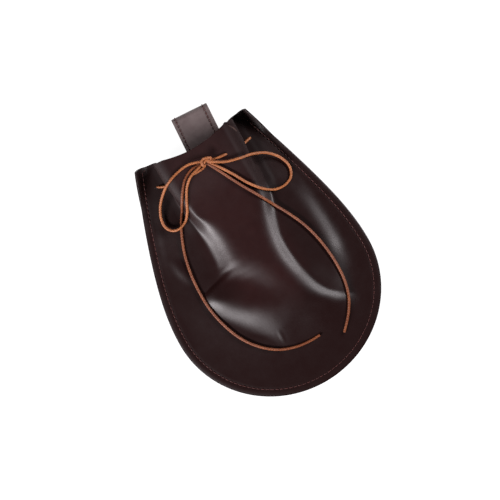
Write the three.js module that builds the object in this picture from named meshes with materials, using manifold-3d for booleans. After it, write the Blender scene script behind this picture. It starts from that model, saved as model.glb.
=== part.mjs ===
// A belt pouch of soft brown leather, lying on its back. Two leather walls are sewn together round
// the sides and the bottom, a belt loop is sewn to the back, and a drawstring is tied on the front.
// Millimetres: X to the right, Y towards the mouth and the belt loop, Z up out of the front.
import * as THREE from "three";
import { mergeVertices } from "three/addons/utils/BufferGeometryUtils.js";
import Module from "manifold-3d";

// Driving dimensions
const OVERALL_LENGTH = 252.5; // bottom of the pouch to the top of the belt loop
const BODY_LENGTH = 231.5; // bottom to where the mouth's corners would meet
const BODY_WIDTH = 180; // at the widest line
const BOTTOM_DEPTH = 86; // bottom to the widest line, a half ellipse
const SIDE_TAPER = 0.397; // how fast each side closes in towards the mouth, far from the widest line
const SIDE_ROUNDING = 62.4; // over what length the side turns from straight down to that taper
const MOUTH_DIP = 10.5; // the mouth's edge is this much lower at its middle
const MOUTH_CORNER = 3; // the mouth's corners are rounded off by this much
const MOUTH_SHIFT = 2.2; // the mouth is pulled this far to the right
const LEATHER = 1.8;
const GAP = 0.3;
const SEAM_GAP = 0.45; // between the two walls, where they lie together
const SEAM_MARGIN = 6; // edge to the row of stitches: the walls lie flat together there
const SEAM_EASE = 15; // edge to where the walls have come fully apart

const STRAP_WIDTH = 32.6;
const STRAP_THICKNESS = 2.2;
const BELT_ROOM = 5; // between the strap's two legs
const STRAP_SEWN_Y = 58; // the strap's lower end, behind the back wall
const STRAP_OPEN_Y = 86; // the legs have come apart here
const STRAP_MIDDLE_X = 9; // at its lower end
const STRAP_LEAN = THREE.MathUtils.degToRad(-3.7);

const CORD = 2.2;
const CORD_CLEARANCE = 0.4; // between a resting cord and the leather
const HOLE = 3.2; // a punched hole, slack round the cord
const CORD_SIDES = 8;
const STRAP_BEND_STEPS = 3;

const Y_BOTTOM = -OVERALL_LENGTH / 2;
const Y_WIDEST = Y_BOTTOM + BOTTOM_DEPTH;
const Y_MOUTH = Y_BOTTOM + BODY_LENGTH;
const Y_LOOP_TOP = OVERALL_LENGTH / 2;

// A table with named columns, a row in brackets for each section, from the bottom up.
function table(columns, ...rows) {
  return rows.map((row) => Object.fromEntries(columns.map((name, i) => [name, row[i]])));
}

// The front wall's middle: its height over the ground, and how far the two steps beside it are
// folded over, from 0 to 1.
const MIDDLE = table(["y", "top", "folded"],
  [-98, 3, 0], [-88, 5.5, 0], [-74, 11, 0], [-58, 15, 0], [-40, 16.5, 0], [0, 16, 0],
  [20, 16.5, 0], [42, 18, 0], [60, 22, 0.5], [80, 27, 1], [110, 27, 1]);

// The front wall climbs to its middle over ramps, one after the other on each side. x is a ramp's
// middle, and rise its share of the climb beside the other ramps of that side.
const RAMP = ["y", "x", "width", "rise"];
const LEFT_RAMPS = {
  outerSlope: table(RAMP,
    [-76, -40, 62, 1.5], [-58, -52, 56, 2], [-40, -62, 46, 2.2], [-14, -60, 56, 2.6],
    [0, -56, 70, 4.2], [20, -55, 72, 4.6], [40, -54, 66, 4], [60, -52, 50, 2], [100, -46, 24, 0.3]),
  step: table(RAMP,
    [-76, -2, 22, 1.6], [-66, -13, 24, 3.6], [-58, -22, 24, 4.8], [-50, -29, 24, 5],
    [-40, -37, 23, 4.6], [-25, -47, 21, 3.6], [-18, -49, 20, 2.6], [-13, -44, 20, 2.4],
    [-9, -35, 20, 2.6], [-5, -27.5, 18, 3], [0, -23.6, 16, 3.5], [10, -22.6, 16, 3.8],
    [26, -24, 16, 3.9], [46, -28, 17, 4.8], [56, -30, 16, 7], [66, -31.5, 15, 12],
    [80, -32, 14, 18], [100, -32.5, 14, 18]),
  innerRise: table(RAMP,
    [-76, 8, 38, 3], [-58, -1, 42, 4.4], [-40, -8, 42, 5], [-24, -3, 33, 4.8], [-15, -7, 32, 4.8],
    [-8, -13, 33, 4.2], [-2, -17, 34, 3], [10, -11, 36, 1.8], [40, -8, 36, 1.2], [100, -10, 34, 0]),
};
const RIGHT_RAMPS = {
  step: table(RAMP,
    [-73, 55, 19, 1.6], [-68, 47, 18, 2.8], [-64, 40, 17, 3.6], [-58, 34, 16, 4],
    [-50, 29, 16, 4], [-34, 23.5, 16, 4], [-10, 20.5, 16, 3.9], [10, 22.5, 16, 3.9],
    [28, 28.5, 16, 3.9], [40, 33, 17, 4.5], [54, 36.5, 16, 6.5], [66, 38.5, 15, 12],
    [80, 39, 14, 18], [100, 39.5, 14, 18]),
  dentFloor: table(RAMP,
    [-76, 46, 60, 1.6], [-60, 46, 62, 2.4], [40, 46, 58, 2.4], [60, 48, 48, 0.8], [100, 46, 36, 0]),
  outerSlope: table(RAMP,
    [-76, 44, 52, 4.4], [-58, 56, 44, 4.2], [-40, 62, 38, 4], [-20, 66, 34, 4], [0, 66, 34, 3.8],
    [20, 64, 36, 3.8], [40, 62, 36, 3.4], [60, 60, 30, 1.6], [100, 56, 16, 0.3]),
};
// A step that is folded over starts later, and leans by a share of its width, up to reach.
const FOLD = { foot: 0.28, lean: 0.25, reach: 4 };

// Creases and small folds of the front wall: each is an oval of half length and half width, its
// length turned from Y by turn degrees, and rises (or sinks) by rise at its middle.
const DENTS = [
  { name: "left crease", x: -40, y: -11, length: 22, width: 4.5, turn: 80, rise: -0.5 },
  { name: "left outer fold", x: -57, y: 12, length: 17, width: 7, turn: -12, rise: 0.6 },
];

// How the back wall lies: flat on the ground at the bottom, lifted by the strap under the mouth,
// low again on both sides of the strap, and turned up at the two ends of the mouth.
const STRAP_LIFT = { from: 5, to: 92, middle: 11, flat: 19.5, ease: 9, beside: 0.4 };
const FLAP_LIFT = { from: 70, to: 104, height: 11, inner: 0.74 };

const smooth = THREE.MathUtils.smoothstep;

// A column of a table read at y, along a smooth curve through its rows.
function readColumn(rows, key, y) {
  const last = rows.length - 1;
  if (y <= rows[0].y) return rows[0][key];
  if (y >= rows[last].y) return rows[last][key];
  const next = rows.findIndex((row) => row.y > y);
  const slopeAt = (i) => {
    const before = rows[Math.max(i - 1, 0)];
    const after = rows[Math.min(i + 1, last)];
    return (after[key] - before[key]) / (after.y - before.y);
  };
  const a = rows[next - 1];
  const b = rows[next];
  const span = b.y - a.y;
  const t = (y - a.y) / span;
  const ease = t * t * (3 - 2 * t);
  const bend = span * t * (1 - t) * ((1 - t) * slopeAt(next - 1) - t * slopeAt(next));
  return a[key] + (b[key] - a[key]) * ease + bend;
}

// Half the pouch's width at y, above the widest line.
function halfWidth(y) {
  const above = Math.max(y - Y_WIDEST, 0);
  return BODY_WIDTH / 2 - SIDE_TAPER * (Math.hypot(above, SIDE_ROUNDING) - SIDE_ROUNDING);
}

// How far the pouch's middle line is pulled to the right at y.
function middleX(y) {
  const above = Math.max(y - Y_WIDEST, 0) / (Y_MOUTH - Y_WIDEST);
  return MOUTH_SHIFT * above * above;
}

// How far a point lies inside the sewn edge.
function insideEdge(x, y) {
  if (y >= Y_WIDEST) return halfWidth(y) - Math.abs(x - middleX(y));
  const half = BODY_WIDTH / 2;
  return half * (1 - Math.hypot(x / half, (y - Y_WIDEST) / BOTTOM_DEPTH));
}

// Height of the back wall's middle surface.
function backHeight(x, y) {
  const fromStrap = Math.abs(x - STRAP_LIFT.middle) - STRAP_LIFT.flat;
  const overStrap = 1 - (1 - STRAP_LIFT.beside) * smooth(fromStrap, 0, STRAP_LIFT.ease);
  const strapRise = STRAP_THICKNESS * 2 + BELT_ROOM + GAP;
  const lifted = strapRise * smooth(y, STRAP_LIFT.from, STRAP_LIFT.to) * overStrap;
  const fromFlap = Math.abs(x - middleX(y)) / halfWidth(y) - FLAP_LIFT.inner;
  const outwards = Math.max(fromFlap, 0) / (1 - FLAP_LIFT.inner);
  const turnedUp = FLAP_LIFT.height * smooth(y, FLAP_LIFT.from, FLAP_LIFT.to) * outwards ** 2;
  return LEATHER / 2 + lifted + turnedUp;
}

// How far a dent raises the wall at a point.
function dentRise(dent, x, y) {
  const turn = THREE.MathUtils.degToRad(dent.turn);
  const along = (y - dent.y) * Math.cos(turn) + (x - dent.x) * Math.sin(turn);
  const across = (x - dent.x) * Math.cos(turn) - (y - dent.y) * Math.sin(turn);
  const inside = 1 - (along / dent.length) ** 2 - (across / dent.width) ** 2;
  return inside > 0 ? dent.rise * inside * inside : 0;
}

// The back wall's middle surface over a point of the plan.
function backSurface(x, y) {
  return new THREE.Vector3(x, y, backHeight(x, y));
}

// The unit normal of a surface, out of the front.
function normalOf(surface, x, y) {
  const step = 0.05;
  const alongX = surface(x + step, y).sub(surface(x - step, y));
  const alongY = surface(x, y + step).sub(surface(x, y - step));
  return alongX.cross(alongY).normalize();
}

// How far up a ramp x lies, from 0 at its foot to 1 at its top. side is -1 on the left, 1 on the right.
function upRamp(rows, side, x, y) {
  const fromMiddle = side * (readColumn(rows, "x", y) - x);
  return THREE.MathUtils.clamp(fromMiddle / readColumn(rows, "width", y) + 0.5, 0, 1);
}

// Share of its full height that the front wall has at x, after the ramps of one side.
function climb(ramps, side, x, y) {
  const folded = readColumn(MIDDLE, "folded", y);
  let climbed = 0;
  let full = 0;
  for (const rows of Object.values(ramps)) {
    const rise = readColumn(rows, "rise", y);
    const up = upRamp(rows, side, x, y);
    climbed += rise * THREE.MathUtils.smootherstep(up, FOLD.foot * folded, 1);
    full += rise;
  }
  return climbed / full;
}

// How far a folded step is shifted in plan, its foot inwards and its brow outwards.
function foldShift(rows, side, x, y) {
  const lean = FOLD.lean * readColumn(MIDDLE, "folded", y) * readColumn(rows, "width", y);
  return -side * lean * Math.sin(2 * Math.PI * upRamp(rows, side, x, y));
}

// The front wall's middle surface over a point of the plan.
function frontSurface(planX, y) {
  const raised = climb(LEFT_RAMPS, -1, planX, y) * climb(RIGHT_RAMPS, 1, planX, y);
  const apart = smooth(insideEdge(planX, y), SEAM_MARGIN, SEAM_EASE);
  const leftShift = foldShift(LEFT_RAMPS.step, -1, planX, y);
  const rightShift = foldShift(RIGHT_RAMPS.step, 1, planX, y);
  const x = planX + leftShift + rightShift;
  const onBack = backHeight(x, y) + (LEATHER + SEAM_GAP) / normalOf(backSurface, x, y).z;
  const dome = Math.max(readColumn(MIDDLE, "top", y) - onBack, 0) * raised;
  const dents = DENTS.reduce((sum, dent) => sum + dentRise(dent, x, y), 0);
  return new THREE.Vector3(x, y, onBack + apart * (dome + dents));
}

// The plan of a wall as a grid: across runs from the left edge, -1, to the right edge, 1, and down
// from the mouth, 1, past the widest line, 0, to the bottom, -1.
function planPoint(across, down) {
  if (down >= 0) {
    const row = THREE.MathUtils.lerp(Y_WIDEST, Y_MOUTH, down);
    const dip = MOUTH_DIP * (1 - across ** 2) ** 1.5 + MOUTH_CORNER * across ** 14;
    return [across * halfWidth(row) + middleX(row), row - down ** 4 * dip];
  }
  const x = (BODY_WIDTH / 2) * across * Math.sqrt(1 - down ** 2 / 2);
  return [x, Y_WIDEST + BOTTOM_DEPTH * down * Math.sqrt(1 - across ** 2 / 2)];
}

// A closed leather wall round a middle surface. Its columns stand closer towards the sewn edges.
function wallGeometry(surface, { columns, upperRows, lowerRows }) {
  const rows = upperRows + lowerRows;
  const corner = (side, row, column) => (side * (rows + 1) + row) * (columns + 1) + column;
  const positions = [];
  for (const side of [1, -1]) {
    for (let row = 0; row <= rows; row++) {
      const down = row <= upperRows ? 1 - row / upperRows : -(row - upperRows) / lowerRows;
      for (let column = 0; column <= columns; column++) {
        const even = (2 * column) / columns - 1;
        const [x, y] = planPoint(even * (5 - even ** 2) / 4, down);
        const offset = normalOf(surface, x, y).multiplyScalar((side * LEATHER) / 2);
        positions.push(...surface(x, y).add(offset).toArray());
      }
    }
  }
  const index = [];
  const quad = (a, b, c, d) => index.push(a, b, c, a, c, d);
  for (let row = 0; row < rows; row++) {
    for (let column = 0; column < columns; column++) {
      const square = [[row, column], [row + 1, column], [row + 1, column + 1], [row, column + 1]];
      quad(...square.map(([r, c]) => corner(0, r, c)));
      quad(...square.reverse().map(([r, c]) => corner(1, r, c)));
    }
  }
  const left = Array.from({ length: rows }, (_, i) => [i, 0]);
  const bottom = Array.from({ length: columns }, (_, i) => [rows, i]);
  const right = Array.from({ length: rows }, (_, i) => [rows - i, columns]);
  const mouth = Array.from({ length: columns }, (_, i) => [0, columns - i]);
  const rim = [...left, ...bottom, ...right, ...mouth];
  rim.forEach(([row, column], i) => {
    const [nextRow, nextColumn] = rim[(i + 1) % rim.length];
    const here = [corner(0, row, column), corner(1, row, column)];
    quad(...here, corner(1, nextRow, nextColumn), corner(0, nextRow, nextColumn));
  });
  const geometry = new THREE.BufferGeometry();
  geometry.setAttribute("position", new THREE.Float32BufferAttribute(positions, 3));
  geometry.setIndex(index);
  return geometry;
}

// Joining and cutting of closed meshes
const wasm = await Module();
wasm.setup();

function solidOf(geometry) {
  const bare = geometry.clone();
  bare.deleteAttribute("normal");
  bare.deleteAttribute("uv");
  const merged = mergeVertices(bare, 1e-4);
  const vertProperties = new Float32Array(merged.attributes.position.array);
  const triVerts = new Uint32Array(merged.index.array);
  return new wasm.Manifold(new wasm.Mesh({ numProp: 3, vertProperties, triVerts }));
}

function geometryOf(solid) {
  const mesh = solid.getMesh();
  const geometry = new THREE.BufferGeometry();
  geometry.setAttribute("position", new THREE.Float32BufferAttribute(mesh.vertProperties, 3));
  geometry.setIndex(new THREE.BufferAttribute(mesh.triVerts, 1));
  geometry.computeVertexNormals();
  return geometry;
}

// A cord's tube along a smooth curve through its points.
function cordGeometry(points, steps, diameter = CORD) {
  const section = new THREE.Shape();
  for (let side = 0; side < CORD_SIDES; side++) {
    const angle = (2 * Math.PI * side) / CORD_SIDES;
    const place = [(diameter / 2) * Math.cos(angle), (diameter / 2) * Math.sin(angle)];
    if (side === 0) section.moveTo(...place);
    else section.lineTo(...place);
  }
  section.closePath();
  const extrudePath = new THREE.CatmullRomCurve3(points, false, "centripetal");
  return new THREE.ExtrudeGeometry(section, { steps, extrudePath, bevelEnabled: false });
}

// A point of a cord that rests on the front wall at a place of the plan, as a ball of the cord's
// size would, raised by lift where it passes over something.
function onFront(x, y, lift = 0) {
  const reach = CORD / 2 + CORD_CLEARANCE;
  const search = reach + FOLD.reach;
  let height = 0;
  for (let dx = -search; dx <= search; dx += reach / 3) {
    for (let dy = -reach; dy <= reach; dy += reach / 3) {
      const outside = normalOf(frontSurface, x + dx, y + dy).multiplyScalar(LEATHER / 2);
      const touch = frontSurface(x + dx, y + dy).add(outside);
      const room = reach ** 2 - (touch.x - x) ** 2 - (touch.y - y) ** 2;
      if (room > 0) height = Math.max(height, touch.z + Math.sqrt(room));
    }
  }
  return new THREE.Vector3(x, y, height + lift);
}

// A cord's way over the front wall: a smooth curve through its points that stays out of the leather.
function laidRoute(route, steps) {
  const points = route.map((point) => onFront(...point));
  const curve = new THREE.CatmullRomCurve3(points, false, "centripetal");
  return curve.getSpacedPoints(steps).map((point) => {
    const rest = onFront(point.x, point.y);
    return point.setZ(Math.max(point.z, rest.z));
  });
}

const leather = new THREE.MeshStandardMaterial({ color: 0x33201f, roughness: 0.4, metalness: 0 });
const strapLeather = new THREE.MeshStandardMaterial({ color: 0x564a4a, roughness: 0.5, metalness: 0 });
const cordFibre = new THREE.MeshStandardMaterial({ color: 0xb5703f, roughness: 0.7, metalness: 0 });

const pouch = new THREE.Group();

function addPiece(name, geometry, material, parent = pouch) {
  const mesh = new THREE.Mesh(geometry, material);
  mesh.name = name;
  parent.add(mesh);
  return mesh;
}

// The threaded drawstring, from the knot to the left hole, round the mouth and back to the knot. It
// dives through the front wall at its two inner holes, shows in the two mouth folds, and makes one
// stitch on each side of the back.
const RUN = [
  [0.8, 76.7, 29], [-5, 76.4, 29], [-9, 76.5, 28.3], [-11.4, 76.7, 26], [-12.6, 77, 22.6],
  [-17, 77.8, 18], [-25, 79, 13.4], [-33, 80.3, 10.8], [-36.5, 81.4, 9.6], [-39.5, 83, 8.2],
  [-42.3, 84.2, 6.2], [-45, 84.8, 3.6], [-47.6, 83.6, 2.2], [-48.2, 81.4, 2], [-46.4, 79.4, 2],
  [-42, 78.8, 2], [-36, 78.8, 2.6], [-31.5, 79, 5], [-27, 79.4, 7.6], [-19, 80, 10.4],
  [-9, 80.4, 13.8], [8, 80.2, 13.9], [24, 79.6, 13.9], [32, 79, 12.9], [36.6, 78.6, 9.4],
  [40.5, 78.2, 5], [45, 78, 2.7], [50, 78, 2.1], [53.6, 79, 2.1], [54.6, 81, 2.3],
  [53, 82.4, 3.2], [50.4, 82, 4.8], [48, 81, 6.6], [45.6, 80.2, 8.4], [43, 79.6, 9.6],
  [39.5, 78.6, 11], [33, 77.8, 13.8], [26.8, 77.4, 18.4], [24.4, 77.3, 22.6], [23, 77.3, 26],
  [20.4, 77.6, 28.3], [16, 78, 29], [9, 79, 29],
].map((point) => new THREE.Vector3(...point));
const RUN_STEPS = 72;

// The bow: each point lies on the front wall, lifted by the third number where the cord crosses
// another stretch or spans a fold.
const BOW_LOOP_LEFT = [
  [0.4, 82.6, 2.4], [-9, 85, 2.2], [-19.1, 84, 1.4], [-29.3, 80.8, 1.6], [-38.5, 75.5, 12],
  [-46.3, 67.6, 6], [-50.8, 58.5, 2.6], [-51.3, 51.4, 1.4], [-47.8, 45.9, 2], [-42, 44.2, 4],
  [-34.8, 46.7, 1.6], [-29.1, 52.8, 0.6], [-24.6, 61, 0.4], [-19.2, 69.6, 0.8], [-12, 75.6, 2.9],
  [-0.4, 79.4, 2.9],
];
const BOW_LOOP_RIGHT = [
  [9.4, 77.3, 2.9], [18.4, 72.4, 1.2], [29.7, 69.1, 2.4], [42.2, 66.9, 10], [52.6, 62.1, 4],
  [60, 53.9, 1.4], [63.1, 44, 0.4], [59.8, 35.8, 0.2], [51.5, 32.2, 0.2], [42, 33.5, 0.2],
  [33.8, 39.2, 0.2], [26, 48.7, 0.2], [19.5, 59.9, 0.2], [12.9, 70, 0.3], [9.4, 75, 0.4],
];
const TAIL_LEFT = [
  [-2.6, 80.9, 0], [-9, 80.3, 0], [-16.7, 76.5, 0], [-24.1, 68.5, 0.4], [-29.9, 59.8, 0.5],
  [-35.7, 51.4, 0], [-40.2, 44.1, 0], [-45, 33.9, 0], [-49.1, 22.6, 0], [-52.5, 7.1, 0],
  [-53.9, -9.4, 0], [-53.4, -25.9, 0], [-50.1, -42.5, 0], [-43.7, -59.1, 0], [-34, -72.7, 0],
  [-21.5, -83, 0], [-7.1, -88.6, 0], [5.4, -90.2, 0], [15, -90, 0],
];
const TAIL_RIGHT = [
  [6.2, 76.4, 0], [11, 67.5, 0], [15.8, 58.2, 0], [21, 48.6, 0], [28.1, 36.5, 0.5],
  [35.6, 23.4, 0.2], [42.9, 10.2, 0], [49, -3.2, 0], [53.3, -17.7, 0], [55.6, -32.2, 0],
  [56.4, -46.6, 0], [55.4, -61.1, 0], [51.9, -73.6, 0], [45.8, -84.4, 0], [39.6, -92, 0],
  [33.6, -98.3, 0],
];
const FREE_CORDS = [
  { name: "bow_loop_left", route: BOW_LOOP_LEFT, steps: 20 },
  { name: "bow_loop_right", route: BOW_LOOP_RIGHT, steps: 25 },
  { name: "cord_tail_left", route: TAIL_LEFT, steps: 24 },
  { name: "cord_tail_right", route: TAIL_RIGHT, steps: 20 },
];
const KNOT = { x: 4, y: 80.2, length: 4.8, width: 3.7, height: 2.8, wrap: 1.6, turn: 60 };
const KNOT_SIDES = 16;

// The knot: a tight ball of cord with one turn of cord round its middle.
function knotSolid(clearance) {
  const middle = onFront(KNOT.x, KNOT.y, KNOT.height - CORD / 2);
  const ball = new THREE.SphereGeometry(1, KNOT_SIDES, KNOT_SIDES / 2);
  ball.scale(KNOT.length + clearance, KNOT.width + clearance, KNOT.height + clearance);
  const turn = new THREE.TorusGeometry(KNOT.wrap, CORD / 2 + clearance, CORD_SIDES, KNOT_SIDES);
  turn.rotateY(THREE.MathUtils.degToRad(KNOT.turn));
  return solidOf(ball).add(solidOf(turn)).translate(middle.toArray());
}

// Walls, punched where the drawstring passes. Both have the same rows, so that they lie together.
const WALL_ROWS = { upperRows: 19, lowerRows: 8 };
const punch = solidOf(cordGeometry(RUN, RUN_STEPS, HOLE));
const frontWall = wallGeometry(frontSurface, { columns: 38, ...WALL_ROWS });
const backWall = wallGeometry(backSurface, { columns: 26, ...WALL_ROWS });
addPiece("front_panel", geometryOf(solidOf(frontWall).subtract(punch)), leather);
addPiece("back_panel", geometryOf(solidOf(backWall).subtract(punch)), leather);

// Belt loop: a strap bent double, whose front leg lies under the back wall. Its middle line is drawn
// from the side, along the strap and up, from the lower end of the front leg round to the rear leg's.
// It leans, so that one corner of its end stands further up than its middle.
const strapCorner = (STRAP_WIDTH / 2) * Math.abs(Math.sin(STRAP_LEAN));

function strapLine(reach) {
  const halfThick = STRAP_THICKNESS / 2;
  const bend = (BELT_ROOM + STRAP_THICKNESS) / 2;
  const frontLeg = (along) => {
    const wall = backHeight(STRAP_LIFT.middle, STRAP_SEWN_Y + along - strapCorner);
    return new THREE.Vector2(along, wall - LEATHER / 2 - GAP - halfThick);
  };
  const rearLeg = (along) => frontLeg(along).add(new THREE.Vector2(0, -STRAP_THICKNESS - GAP));
  const opens = STRAP_OPEN_Y - STRAP_SEWN_Y;
  const level = STRAP_LIFT.to + strapCorner - STRAP_SEWN_Y;
  const line = new THREE.Path();
  line.moveTo(...frontLeg(0).toArray());
  line.splineThru([1, 2, 3, 4].map((quarter) => frontLeg((level * quarter) / 4)));
  line.absarc(reach - bend - halfThick, halfThick + bend, bend, Math.PI / 2, -Math.PI / 2, true);
  line.lineTo(opens, halfThick);
  line.splineThru([rearLeg(opens / 2), rearLeg(opens / 4), rearLeg(0)]);
  const points = line.getPoints(STRAP_BEND_STEPS);
  return points.filter((point, i) => i === 0 || point.distanceTo(points[i - 1]) > 1e-3);
}

// The strap's thickness on both sides of its middle line.
function strapShape(reach) {
  const line = strapLine(reach);
  const edge = (side) =>
    line.map((point, i) => {
      const before = line[Math.max(i - 1, 0)];
      const after = line[Math.min(i + 1, line.length - 1)];
      const along = after.clone().sub(before).normalize();
      const out = new THREE.Vector2(-along.y, along.x).multiplyScalar((side * STRAP_THICKNESS) / 2);
      return point.clone().add(out);
    });
  return new THREE.Shape([...edge(1), ...edge(-1).reverse()]);
}

const strap = new THREE.Group();
strap.position.set(STRAP_MIDDLE_X, STRAP_SEWN_Y, 0);
strap.rotation.z = STRAP_LEAN;
pouch.add(strap);
const strapReach = (Y_LOOP_TOP - STRAP_SEWN_Y - strapCorner) / Math.cos(STRAP_LEAN);
const strapGeometry = new THREE.ExtrudeGeometry(strapShape(strapReach), {
  depth: STRAP_WIDTH,
  bevelEnabled: false,
});
strapGeometry.translate(0, 0, -STRAP_WIDTH / 2);
strapGeometry.applyMatrix4(
  new THREE.Matrix4().makeBasis(
    new THREE.Vector3(0, 1, 0),
    new THREE.Vector3(0, 0, 1),
    new THREE.Vector3(1, 0, 0),
  ),
);
addPiece("belt_loop", strapGeometry, strapLeather, strap);

// Drawstring, threaded and tied
addPiece("drawstring_run", cordGeometry(RUN, RUN_STEPS), cordFibre);
addPiece("bow_knot", geometryOf(knotSolid(0)), cordFibre);
const knotRoom = knotSolid(GAP);
for (const { name, route, steps } of FREE_CORDS) {
  const tube = cordGeometry(laidRoute(route, steps), steps);
  addPiece(name, geometryOf(solidOf(tube).subtract(knotRoom)), cordFibre);
}

export default pouch;
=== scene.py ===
import math

import bpy
import numpy as np
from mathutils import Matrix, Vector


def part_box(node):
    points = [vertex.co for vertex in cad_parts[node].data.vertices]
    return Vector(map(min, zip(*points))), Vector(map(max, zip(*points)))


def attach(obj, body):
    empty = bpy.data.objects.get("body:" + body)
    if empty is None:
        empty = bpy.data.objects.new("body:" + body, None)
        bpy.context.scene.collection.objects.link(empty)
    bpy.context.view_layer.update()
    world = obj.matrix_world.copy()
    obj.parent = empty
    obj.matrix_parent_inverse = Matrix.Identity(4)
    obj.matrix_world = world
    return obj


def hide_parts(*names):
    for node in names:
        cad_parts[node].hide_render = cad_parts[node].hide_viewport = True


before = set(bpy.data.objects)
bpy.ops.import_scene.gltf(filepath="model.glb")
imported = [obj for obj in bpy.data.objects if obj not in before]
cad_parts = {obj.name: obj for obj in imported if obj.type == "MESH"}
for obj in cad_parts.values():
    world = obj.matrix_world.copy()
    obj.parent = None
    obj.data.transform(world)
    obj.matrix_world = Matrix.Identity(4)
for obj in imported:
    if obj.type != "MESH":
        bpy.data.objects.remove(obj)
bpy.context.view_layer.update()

# The back wall
# One piece of smooth brown leather, cut with a rounded bottom and sides that close in towards the
# mouth. It lies on the ground, lifted near the mouth by the belt loop that is sewn behind it.
MM = 0.001
LEATHER = 1.8 * MM
SEAM_GAP = 0.45 * MM
SEAM_MARGIN = 6 * MM  # edge to the row of stitches
SEAM_EASE = 15 * MM  # edge to where the two walls have come fully apart
BOTTOM_DEPTH = 86 * MM  # bottom to the widest line, a half ellipse
SIDE_TAPER = 0.397  # how fast each side closes in towards the mouth
SIDE_ROUNDING = 62.4 * MM  # over this length a side turns from straight to that taper
MOUTH_DIP = 10.5 * MM  # the mouth's edge is this much lower at its middle
MOUTH_CORNER = 3 * MM  # how much the corners of the mouth are rounded off
BODY_LENGTH = 231.5 * MM  # to where the corners of the mouth would meet
MOUTH_SHIFT = 2.2 * MM  # the mouth is pulled this far to the right
TINY = 0.05 * MM  # a step for measuring slopes
back_low, back_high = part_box("back_panel")
half_body = back_high.x
y_widest = back_low.y + BOTTOM_DEPTH
y_mouth = back_low.y + BODY_LENGTH


def ease(value, start, end):
    """0 up to start, 1 from end on, and a smooth step between them."""
    t = np.clip((value - start) / (end - start), 0, 1)
    return t * t * (3 - 2 * t)


def half_width(y):
    """Half the pouch's width at a height above its widest line."""
    above = np.maximum(y - y_widest, 0)
    return half_body - SIDE_TAPER * (np.hypot(above, SIDE_ROUNDING) - SIDE_ROUNDING)


def middle_x(y):
    """How far the pouch's middle line is pulled to the right."""
    return MOUTH_SHIFT * (np.maximum(y - y_widest, 0) / (y_mouth - y_widest)) ** 2


def inset(x, y):
    """How far a point of the plan lies inside the sewn edge."""
    from_side = half_width(y) - np.abs(x - middle_x(y))
    from_bottom = half_body * (1 - np.hypot(x / half_body, (y - y_widest) / BOTTOM_DEPTH))
    return np.where(y >= y_widest, from_side, from_bottom)


STRAP_RISE = 9.7 * MM  # the belt loop's two layers with a belt's room between them
STRAP_CLIMB = (5 * MM, 92 * MM)  # the wall climbs over the strap between these y
STRAP_MIDDLE = 11 * MM
STRAP_FLAT = 19.5 * MM  # the wall is level over the strap this far from its middle
STRAP_EASE = 9 * MM
STRAP_BESIDE = 0.4  # share of the rise that is left beside the strap
FLAP_RISE = 11 * MM  # how far the sewn edges turn up at the mouth
FLAP_CLIMB = (70 * MM, 104 * MM)  # they turn up between these y
FLAP_STARTS = 0.74  # and from this share of the half width outwards


def back_height(x, y):
    """Height of the back wall's middle surface over the ground."""
    beside = ease(np.abs(x - STRAP_MIDDLE), STRAP_FLAT, STRAP_FLAT + STRAP_EASE)
    over_strap = STRAP_RISE * ease(y, *STRAP_CLIMB) * (1 - (1 - STRAP_BESIDE) * beside)
    outwards = np.maximum(np.abs(x - middle_x(y)) / half_width(y) - FLAP_STARTS, 0) / (1 - FLAP_STARTS)
    return LEATHER / 2 + over_strap + FLAP_RISE * ease(y, *FLAP_CLIMB) * outwards**2


def back_surface(x, y):
    """The back wall's middle surface over places of the plan."""
    return x, y, back_height(x, y)


def plan_point(across, down):
    """A place of the cut pattern: across from edge to edge, down from the mouth, 1, to the bottom, -1."""
    row = y_widest + (y_mouth - y_widest) * down
    upper_x = across * half_width(row) + middle_x(row)
    upper_y = row - down**4 * (MOUTH_DIP * (1 - across**2) ** 1.5 + MOUTH_CORNER * across**14)
    lower_x = half_body * across * np.sqrt(1 - down**2 / 2)
    lower_y = y_widest + BOTTOM_DEPTH * down * np.sqrt(1 - across**2 / 2)
    return np.where(down >= 0, upper_x, lower_x), np.where(down >= 0, upper_y, lower_y)


def quads_of(grid):
    """Faces between the neighbouring points of a grid of point numbers."""
    corners = [grid[:-1, :-1], grid[1:, :-1], grid[1:, 1:], grid[:-1, 1:]]
    return np.stack(corners, -1).reshape(-1, 4)


CORE = 0.6  # share of the pattern that a plain grid covers; the rest is rows along the sewn edge
RIM_ROWS = np.array([12, 10.4, 9, 7.9, 7.1, 6.5, 6, 5.5, 4.9, 4.1, 3.2, 2.2, 1.1, 0]) * MM


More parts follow.
